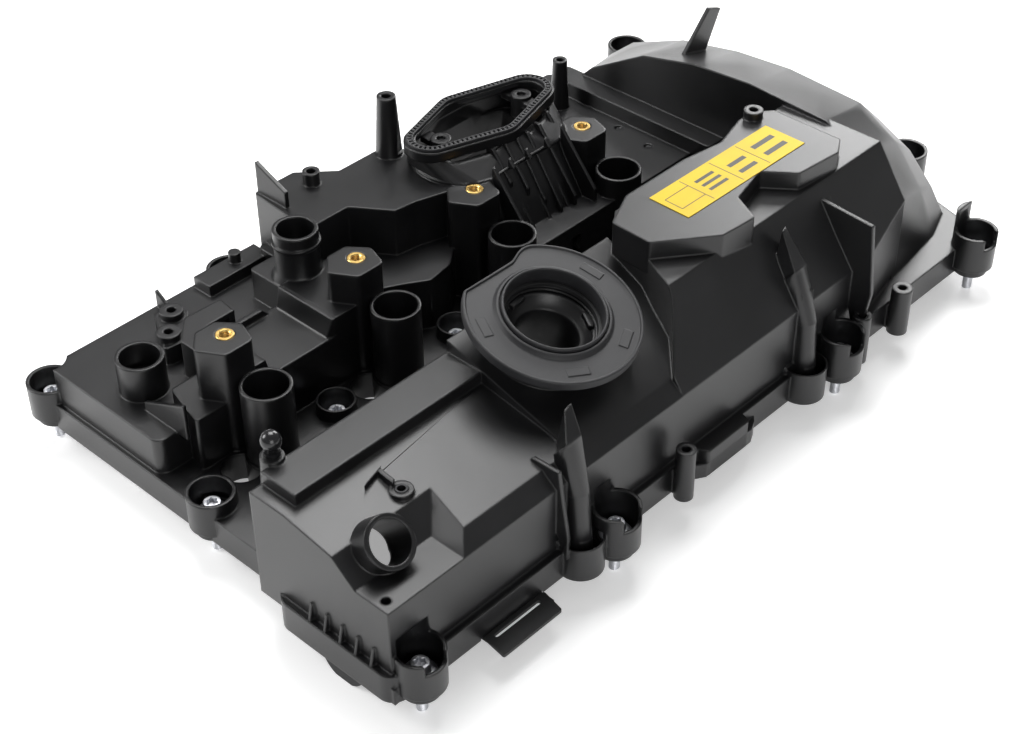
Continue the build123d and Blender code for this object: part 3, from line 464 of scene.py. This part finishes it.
# Duct arms and ribs: two flat bars with screw bosses, moulded across the duct inside its
# rim, and the ribs that brace its near side down to the deck. Same nylon as the cover.
DUCT_ARMS = (190.0, 257.0)
DUCT_ARM_Y = 63.0
ARM_HALF = 4
ARM_ENDS = (48, 76)
ARM_HEIGHTS = (89.5, 93)
BOSS_PROFILE = ((6.4, 82), (6.0, 95.4), (2.6, 95.4), (2.6, 82))
BOSS_STEPS = 40
RIB_WALL = 2.0
RIB_TOP, RIB_FOOT = 92.5, 46
RIB_HEAD_DEPTH, RIB_FOOT_DEPTH = 5, 16
# Each rib: X, the Y of its top, and the Y and Z of its lower corner.
DUCT_RIBS = (
    (205, 36, 22, 76), (214, 34.5, 17, 70), (223, 34, 12, 60), (231.7, 34, 7, 53), (242.5, 35, 6, 56),
    (256, 41, 5, 49),
)


def join_rows(work, rows):
    """Closes rows of points, each one a section, into a ring."""
    for here, there in zip(rows, rows[1:] + rows[:1]):
        for n in range(len(here)):
            after = (n + 1) % len(here)
            work.faces.new((here[n], there[n], there[after], here[after]))


def spun(work, centre, profile, steps):
    """A ring made by turning a closed profile of reach and height about an upright axis."""
    rows = []
    for k in range(steps):
        angle = 2 * math.pi * k / steps
        rows.append([
            work.verts.new((centre.x + reach * math.cos(angle), centre.y + reach * math.sin(angle), height))
            for reach, height in profile
        ])
    join_rows(work, rows)


def piece_from(work, name, material, smooth=True):
    """Turns the work into a piece that rides on the cover and takes its finish."""
    mesh = bpy.data.meshes.new(name)
    bmesh.ops.recalc_face_normals(work, faces=work.faces)
    work.to_mesh(mesh)
    work.free()
    piece = bpy.data.objects.new(name, mesh)
    bpy.context.scene.collection.objects.link(piece)
    coat(piece, material, smooth)
    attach(piece, "cover")
    return piece


near, far = ARM_ENDS
boss = [(reach * MM, height * MM) for reach, height in BOSS_PROFILE]
work = bmesh.new()
for x in DUCT_ARMS:
    left, right = x - ARM_HALF, x + ARM_HALF
    slab(work, [(left, near), (right, near), (right, far), (left, far)], ARM_HEIGHTS)
    spun(work, Vector((x, DUCT_ARM_Y, 0)) * MM, boss, BOSS_STEPS)
piece_from(work, "duct_arms", nylon_black)
work = bmesh.new()
for x, high_y, low_y, low_z in DUCT_RIBS:
    side = [
        (high_y + RIB_HEAD_DEPTH, RIB_TOP), (high_y, RIB_TOP), (low_y, low_z), (low_y, RIB_FOOT),
        (low_y + RIB_FOOT_DEPTH, RIB_FOOT),
    ]
    slab(work, side, (x - RIB_WALL / 2, x + RIB_WALL / 2), "x")
piece_from(work, "duct_ribs", nylon_black)


# Filler throat: the stepped cone and tube below the filler's mouth, with three catches
# that hold the cap. Moulded with the cover, in the same nylon.
THROAT_SECTION = (
    (25.3, -3.8), (23.2, -9), (19.0, -14), (17.0, -15), (16.4, -16.2), (16.4, -40), (21.4, -40),
    (21.4, -13.2), (23.3, -12.9), (23.3, -7.2), (25.3, -6.9),
)
THROAT_STEPS = 96
CATCH_TURNS = (-25, 95, 215)
CATCH_HALF = math.radians(13)
CATCH_REACHES = (20.4, 24.2)
CATCH_HEIGHTS = (-10.4, -7.6)


def filler_ring(work, section_at, steps):
    """A ring round the filler's axis, from its section of reach and height at each turn."""
    rows = []
    for k in range(steps):
        turn = 2 * math.pi * k / steps
        rows.append([
            work.verts.new(Vector(filler_point(reach * math.cos(turn), reach * math.sin(turn), height)) * MM)
            for reach, height in section_at(turn)
        ])
    join_rows(work, rows)


work = bmesh.new()
filler_ring(work, lambda turn: THROAT_SECTION, THROAT_STEPS)
for degrees in CATCH_TURNS:
    turns = [math.radians(degrees) + side for side in (-CATCH_HALF, 0, CATCH_HALF)]
    hull(work, [filler_point(reach * math.cos(turn), reach * math.sin(turn), height)
                for reach in CATCH_REACHES for turn in turns for height in CATCH_HEIGHTS])
piece_from(work, "filler_throat", nylon_black)


# Separator baffle: flat plate of the same nylon, injection moulded and welded in under
# the separator box. Its faces are duller than the cover's.
def dress(name, material):
    """Finishes a piece that keeps the shape of its solid."""
    piece = nodes[name]
    weld = piece.modifiers.new("weld", "WELD")
    weld.merge_threshold = 0.00001
    coat(piece, material)


dress("separator_baffle", nylon("nylon_inside", 0.5))


# Perimeter gasket, well gaskets, seals and grommets: black silicone rubber, moulded and
# pressed into their grooves. It is matt, with a faint bloom.
RUBBER_BLACK = (0.008, 0.008, 0.0085, 1)
RUBBER_BLOOM = (0.018, 0.018, 0.019, 1)


def rubber(name, dark, pale, roughness, radius):
    """Moulded rubber, with bloom in patches and a fine skin."""
    material, tree, shader, place = finish_of(name)
    bloom = make(tree, "ShaderNodeTexNoise", {}, Vector=place, Scale=60, Detail=6, Roughness=0.65)
    fine = make(tree, "ShaderNodeTexNoise", {}, Vector=place, Scale=1800, Detail=2, Roughness=0.5)
    shade = make(tree, "ShaderNodeValToRGB", {"stops": [(0.35, dark), (0.7, pale)]}, bloom)
    tree.links.new(shade.socket, shader.inputs["Base Color"])
    rough = roughness + bloom * 0.12
    tree.links.new(rough.socket, shader.inputs["Roughness"])
    normal = rounded_normal(tree, radius, fine, 0.12, 0.0002)
    tree.links.new(normal.socket, shader.inputs["Normal"])
    return material


black_rubber = rubber("rubber_black", RUBBER_BLACK, RUBBER_BLOOM, 0.55, 0.5 * MM)
for name in ("perimeter_gasket", "well_gasket_1", "well_gasket_2", "well_gasket_3", "well_gasket_4",
             "filler_neck_seal", "socket_seal", "screw_grommets"):
    dress(name, black_rubber)


# Filler collar: moulded rubber disc, pushed over the filler neck, that seals to the
# engine's sound cover. It has a raised rim, a flat on one side, a double lip round its
# mouth and four plain pads, and is duller than the nylon.
COLLAR_GREY = (0.008, 0.008, 0.0095, 1)
COLLAR_DUST = (0.017, 0.017, 0.019, 1)
COLLAR_REACH = 46.0
COLLAR_FLAT = 37.0
COLLAR_STEPS = 180
FLAT_END, FLAT_BLEND = 8, 18
# The rim as distances in from the edge, and the face and lip as reaches, with heights.
COLLAR_RIM = ((0.6, -3.0), (0, -2.4), (0, 1.9), (0.5, 2.4), (1.4, 2.4), (1.9, 1.5))
COLLAR_LIP = (
    (31.0, 1.5), (30.2, 2.2), (29.6, 3.6), (29.1, 3.9), (28.2, 3.9), (27.9, 3.5), (27.8, 2.6), (27.5, 2.6),
    (27.3, 5.0), (26.9, 5.6), (26.3, 5.7), (25.8, 5.3), (25.6, 4.5), (25.6, -3.0),
)
PAD_TURNS = (-62, -118, 158, 12)
PAD_PLACE = 38.0
PAD_CORNERS = ((-6, -2.4), (6, -2.4), (6, 2.4), (-6, 2.4))
PAD_HEIGHTS = (1.1, 1.85)


def collar_section(turn):
    """The collar's section at one turn, which follows its flat."""
    flat = min(COLLAR_REACH, COLLAR_FLAT / max(math.sin(turn), 0.01))
    blend = min(max((COLLAR_REACH * math.cos(turn) - FLAT_END) / FLAT_BLEND, 0), 1)
    blend = blend * blend * (3 - 2 * blend)
    edge = flat * (1 - blend) + COLLAR_REACH * blend
    return [(edge - inset, height) for inset, height in COLLAR_RIM] + list(COLLAR_LIP)


collar_rubber = rubber("rubber_collar", COLLAR_GREY, COLLAR_DUST, 0.5, 0.8 * MM)
work = bmesh.new()
filler_ring(work, collar_section, COLLAR_STEPS)
for degrees in PAD_TURNS:
    turn = math.radians(degrees)
    out_x, out_y = math.cos(turn), math.sin(turn)
    hull(work, [filler_point(PAD_PLACE * out_x + along * -out_y + out * out_x,
                             PAD_PLACE * out_y + along * out_x + out * out_y, height)
                for along, out in PAD_CORNERS for height in PAD_HEIGHTS])
disc = piece_from(work, "rubber_collar", collar_rubber)
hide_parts("filler_collar")


# Sleeves, spring and bush: plain drawn steel for the sleeves and the valve spring, and
# blacked steel for the small bush beside the sensor port.
ZINC = (0.78, 0.79, 0.82, 1)
ZINC_DULL = (0.6, 0.61, 0.64, 1)
BLACKED = (0.03, 0.03, 0.032, 1)
BLACKED_DULL = (0.02, 0.02, 0.021, 1)


def steel(name, bright, dull, roughness, metallic=1.0):
    """Metal with fine dull patches."""
    material, tree, shader, place = finish_of(name)
    shader.inputs["Metallic"].default_value = metallic
    patch = make(tree, "ShaderNodeTexNoise", {}, Vector=place, Scale=260, Detail=5, Roughness=0.6)
    shade = make(tree, "ShaderNodeValToRGB", {"stops": [(0.3, dull), (0.65, bright)]}, patch)
    tree.links.new(shade.socket, shader.inputs["Base Color"])
    rough = roughness + patch * 0.15
    tree.links.new(rough.socket, shader.inputs["Roughness"])
    normal = rounded_normal(tree, 0.25 * MM, patch, 0.1, 0.0001)
    tree.links.new(normal.socket, shader.inputs["Normal"])
    return material


drawn_steel = steel("steel_drawn", ZINC, ZINC_DULL, 0.32)
dress("screw_sleeves", drawn_steel)
dress("separator_valve_spring", drawn_steel)
dress("sensor_bush", steel("steel_black", BLACKED, BLACKED_DULL, 0.45, 0.6))


# Cover screws: cold-headed steel, zinc plated, each with a captive flange under a
# hexagon head that has a six-lobed recess, and a rolled thread at its tip.
HEAD_HEIGHT = 7.6 * MM
HEAD_FLAT = 4.5 * MM
RECESS_REACH = 2.7 * MM
RECESS_WAVE = 0.45 * MM
RECESS_DEPTH = 2.8 * MM
FLANGE_REACH = 8.6 * MM
TIP_REACH = 1.6 * MM
TIP_HEIGHT = 0.8 * MM
THREAD_LENGTH = 13 * MM
THREAD_REACH = 3.0 * MM
THREAD_DEPTH = 0.45 * MM
THREAD_PITCH = 1.0 * MM
THREAD_ROWS = 64
SCREW_STEPS = 48


def solids_of(name):
    """Low and high corners of each separate solid of a node, in order along the cover."""
    work = bmesh.new()
    work.from_mesh(nodes[name].data)
    bmesh.ops.remove_doubles(work, verts=work.verts, dist=0.00001)
    waiting = set(work.verts)
    found = []
    while waiting:
        front = [waiting.pop()]
        group = list(front)
        while front:
            for edge in front.pop().link_edges:
                for vert in edge.verts:
                    if vert in waiting:
                        waiting.remove(vert)
                        front.append(vert)
                        group.append(vert)
        found.append((
            Vector([min(vert.co[i] for vert in group) for i in range(3)]),
            Vector([max(vert.co[i] for vert in group) for i in range(3)]),
        ))
    work.free()
    return sorted(found, key=lambda corners: tuple(corners[0]))


def hexagon(angle):
    return HEAD_FLAT / math.cos(angle % (math.pi / 3) - math.pi / 6)


def lobes(angle):
    return RECESS_REACH + RECESS_WAVE * math.cos(6 * angle)


def thread_reach(height):
    """Reach of the rolled thread at one height, as a function of the angle."""
    def reach(angle):
        turn = (height / THREAD_PITCH - angle / (2 * math.pi)) % 1.0
        return THREAD_REACH - THREAD_DEPTH * abs(2 * turn - 1)
    return reach


def turned(work, centre, rings, steps):
    """A closed body of rings: each is a height and a reach, or a reach for every angle."""
    rows = []
    for height, reach in rings:
        row = []
        for k in range(steps):
            angle = 2 * math.pi * k / steps
            radius = reach(angle) if callable(reach) else reach
            row.append(work.verts.new((
                centre.x + radius * math.cos(angle), centre.y + radius * math.sin(angle), height,
            )))
        rows.append(row)
    for lower, upper in zip(rows, rows[1:]):
        for k in range(steps):
            after = (k + 1) % steps
            work.faces.new((lower[k], lower[after], upper[after], upper[k]))
    work.faces.new(list(reversed(rows[0])))
    work.faces.new(rows[-1])


work = bmesh.new()
for low, high in solids_of("cover_screws"):
    washer_foot = high.z - HEAD_HEIGHT
    thread_top = low.z + THREAD_LENGTH
    rings = [(low.z, TIP_REACH)]
    for k in range(THREAD_ROWS + 1):
        height = low.z + TIP_HEIGHT + (thread_top - low.z - TIP_HEIGHT) * k / THREAD_ROWS
        rings.append((height, thread_reach(height)))
    rings += [
        (thread_top + 0.5 * MM, THREAD_REACH), (washer_foot, THREAD_REACH), (washer_foot, FLANGE_REACH),
        (washer_foot + 1.0 * MM, FLANGE_REACH), (washer_foot + 1.5 * MM, FLANGE_REACH - 0.6 * MM),
        (washer_foot + 2.1 * MM, FLANGE_REACH - 2.6 * MM), (washer_foot + 2.3 * MM, hexagon),
        (high.z - 0.9 * MM, hexagon), (high.z - 0.2 * MM, HEAD_FLAT), (high.z, HEAD_FLAT - 0.5 * MM),
        (high.z, lambda angle: lobes(angle) + 0.3 * MM), (high.z - 0.3 * MM, lobes),
        (high.z - RECESS_DEPTH, lobes), (high.z - RECESS_DEPTH - 0.7 * MM, 0.6 * MM),
    ]
    turned(work, (low + high) / 2, rings, SCREW_STEPS)
screws = piece_from(work, "screws", steel("zinc_bright", ZINC, ZINC_DULL, 0.4))
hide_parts("cover_screws")


# Coil inserts: turned brass bushes with a chamfered mouth and a thread, moulded into the
# four coil pedestals.
BRASS = (0.83, 0.58, 0.2, 1)
BRASS_DULL = (0.6, 0.38, 0.12, 1)
INSERT_STEPS = 48
INSERT_BORE = 2.6 * MM
INSERT_CHAMFER = 0.7 * MM
INSERT_EDGE = 0.3 * MM
INSERT_TURNS = 12
INSERT_PITCH = 0.8 * MM
INSERT_THREAD_TOP = 1.2 * MM
INSERT_THREAD_DEPTH = 0.35 * MM

work = bmesh.new()
for low, high in solids_of("coil_inserts"):
    outer = (high.x - low.x) / 2
    profile = [
        (outer, low.z), (outer, high.z - INSERT_EDGE), (outer - INSERT_EDGE, high.z),
        (INSERT_BORE + INSERT_CHAMFER, high.z), (INSERT_BORE, high.z - INSERT_CHAMFER),
    ]
    for k in range(INSERT_TURNS):
        height = high.z - INSERT_THREAD_TOP - k * INSERT_PITCH
        profile += [(INSERT_BORE, height), (INSERT_BORE + INSERT_THREAD_DEPTH, height - INSERT_PITCH / 2)]
    profile.append((INSERT_BORE, low.z))
    spun(work, (low + high) / 2, profile, INSERT_STEPS)
inserts = piece_from(work, "brass_inserts", steel("brass_turned", BRASS, BRASS_DULL, 0.22))
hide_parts("coil_inserts")


# Duct gasket: moulded rubber ring pressed into the rim of the oval duct. Two beads
# run round it, with short teeth between them that hold it flat under the air pipe.
TEETH = 84
TOOTH_SHARE = 0.35
TOOTH_RAMP = 0.06
GAP_DEPTH = 1.5 * MM
TOOTH_DEPTH = 0.3 * MM
GASKET_HALF = 4.3 * MM / 2
BEAD = 0.9 * MM


def half_outline(points):
    """One half of the line drawn tight round the points."""
    line = []
    for x, y in points:
        while len(line) > 1 and ((line[-1][0] - line[-2][0]) * (y - line[-2][1])
                                 - (line[-1][1] - line[-2][1]) * (x - line[-2][0])) <= 0:
            line.pop()
        line.append((x, y))
    return line[:-1]


around = sorted((round(x, 4), round(y, 4)) for x, y, z in rounds_at(DUCT_ROUNDS, DUCT_RIM_WIDTH / 2, 0))
oval = [Vector((x, y, 0)) * MM for x, y in half_outline(around) + half_outline(around[::-1])]
oval_steps = [(there - here).length for here, there in zip(oval, oval[1:] + oval[:1])]
oval_length = sum(oval_steps)


def on_oval(distance):
    """Point and outward direction at a distance along the middle line of the rim."""
    distance %= oval_length
    n = 0
    while distance > oval_steps[n] and n < len(oval) - 1:
        distance -= oval_steps[n]
        n += 1
    here, there = oval[n], oval[(n + 1) % len(oval)]
    before, beyond = oval[n - 1], oval[(n + 2) % len(oval)]
    share = distance / oval_steps[n]
    lead = (there - before).normalized().lerp((beyond - here).normalized(), share)
    return here.lerp(there, share), Vector((lead.y, -lead.x, 0)).normalized()


def gasket_section(drop, foot, top):
    """The gasket's section: its two beads, with the middle at a drop below them."""
    side = [
        (GASKET_HALF, foot), (GASKET_HALF, top - 0.4 * MM), (GASKET_HALF - 0.3 * MM, top),
        (GASKET_HALF - BEAD, top), (GASKET_HALF - BEAD - 0.2 * MM, top - drop),
    ]
    return [(-GASKET_HALF, foot)] + side + [(-across, height) for across, height in side[:0:-1]]


low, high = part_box("duct_gasket")
work = bmesh.new()
rows = []
for k in range(TEETH):
    for share, drop in ((0.0, GAP_DEPTH), (TOOTH_SHARE, GAP_DEPTH), (TOOTH_SHARE + TOOTH_RAMP, TOOTH_DEPTH),
                        (1 - TOOTH_RAMP, TOOTH_DEPTH)):
        point, out = on_oval((k + share) * oval_length / TEETH)
        rows.append([
            work.verts.new((point.x + out.x * across, point.y + out.y * across, height))
            for across, height in gasket_section(drop, low.z, high.z)
        ])
join_rows(work, rows)
toothed = piece_from(work, "toothed_gasket", collar_rubber)
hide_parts("duct_gasket")


# Ball stud: glossy black acetal ball on a short stem, pushed into its post to hold the
# engine's sound cover.
BALL_BLACK = (0.01, 0.01, 0.011, 1)

stud_finish, tree, shader, place = finish_of("acetal_black")
shader.inputs["Base Color"].default_value = BALL_BLACK
wear = make(tree, "ShaderNodeTexNoise", {}, Vector=place, Scale=220, Detail=4, Roughness=0.6)
rough = 0.16 + wear * 0.12
tree.links.new(rough.socket, shader.inputs["Roughness"])
dress("ball_stud", stud_finish)


# Vent valve plate: pale moulded acetal disc inside the separator, held down by its
# spring.
VALVE_PALE = (0.52, 0.5, 0.43, 1)
VALVE_DARK = (0.42, 0.4, 0.34, 1)

valve_finish, tree, shader, place = finish_of("acetal_pale")
tint = make(tree, "ShaderNodeTexNoise", {}, Vector=place, Scale=90, Detail=4, Roughness=0.6)
shade = make(tree, "ShaderNodeValToRGB", {"stops": [(0.3, VALVE_DARK), (0.7, VALVE_PALE)]}, tint)
tree.links.new(shade.socket, shader.inputs["Base Color"])
dress("separator_valve_plate", valve_finish)


# Label: yellow plastic film, stuck on the plateau, with plain bars and frames in black
# ink across it.
LABEL_YELLOW = (0.62, 0.44, 0.012, 1)
LABEL_SHADE = (0.55, 0.38, 0.01, 1)
LABEL_TURN = math.radians(-0.5)
INK = (0.02, 0.019, 0.012, 1)
INK_HALF = 0.05
# Each bar: its middle along and across the label, its length and its width.
LABEL_BARS = (
    (-36.5, -6, 19, 0.5), (-36.5, 6, 19, 0.5), (-27, 0, 0.5, 24), (-46, 0, 0.5, 12), (-2, 0, 0.5, 24),
    (21, 0, 0.5, 24), (-14.5, -5, 15, 2.2), (-14.5, 0, 15, 2.2), (-14.5, 5, 15, 2.2), (9.5, -6, 14, 3),
    (9.5, 2, 14, 3), (35, -5, 18, 3.5), (35, 4, 18, 3.5),
)

label_finish, tree, shader, place = finish_of("label_film")
fade = make(tree, "ShaderNodeTexNoise", {}, Vector=place, Scale=40, Detail=4, Roughness=0.6)
shade = make(tree, "ShaderNodeValToRGB", {"stops": [(0.3, LABEL_SHADE), (0.7, LABEL_YELLOW)]}, fade)
tree.links.new(shade.socket, shader.inputs["Base Color"])
rough = 0.4 + fade * 0.1
tree.links.new(rough.socket, shader.inputs["Roughness"])
shader.inputs["Specular IOR Level"].default_value = 0.2
dress("label", label_finish)
ink, tree, shader, place = finish_of("label_ink")
shader.inputs["Base Color"].default_value = INK
shader.inputs["Roughness"].default_value = 0.5
low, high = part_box("label")
label_middle = (low + high) / (2 * MM)
label_top = high.z / MM
work = bmesh.new()
for along, across, long, wide in LABEL_BARS:
    corners = []
    for side_x, side_y in ((-0.5, -0.5), (0.5, -0.5), (0.5, 0.5), (-0.5, 0.5)):
        x, y = along + side_x * long, across + side_y * wide
        corners.append((label_middle.x + x * math.cos(LABEL_TURN) - y * math.sin(LABEL_TURN),
                        label_middle.y + x * math.sin(LABEL_TURN) + y * math.cos(LABEL_TURN)))
    slab(work, corners, (label_top - INK_HALF, label_top + INK_HALF))
piece_from(work, "label_bars", ink, smooth=False)
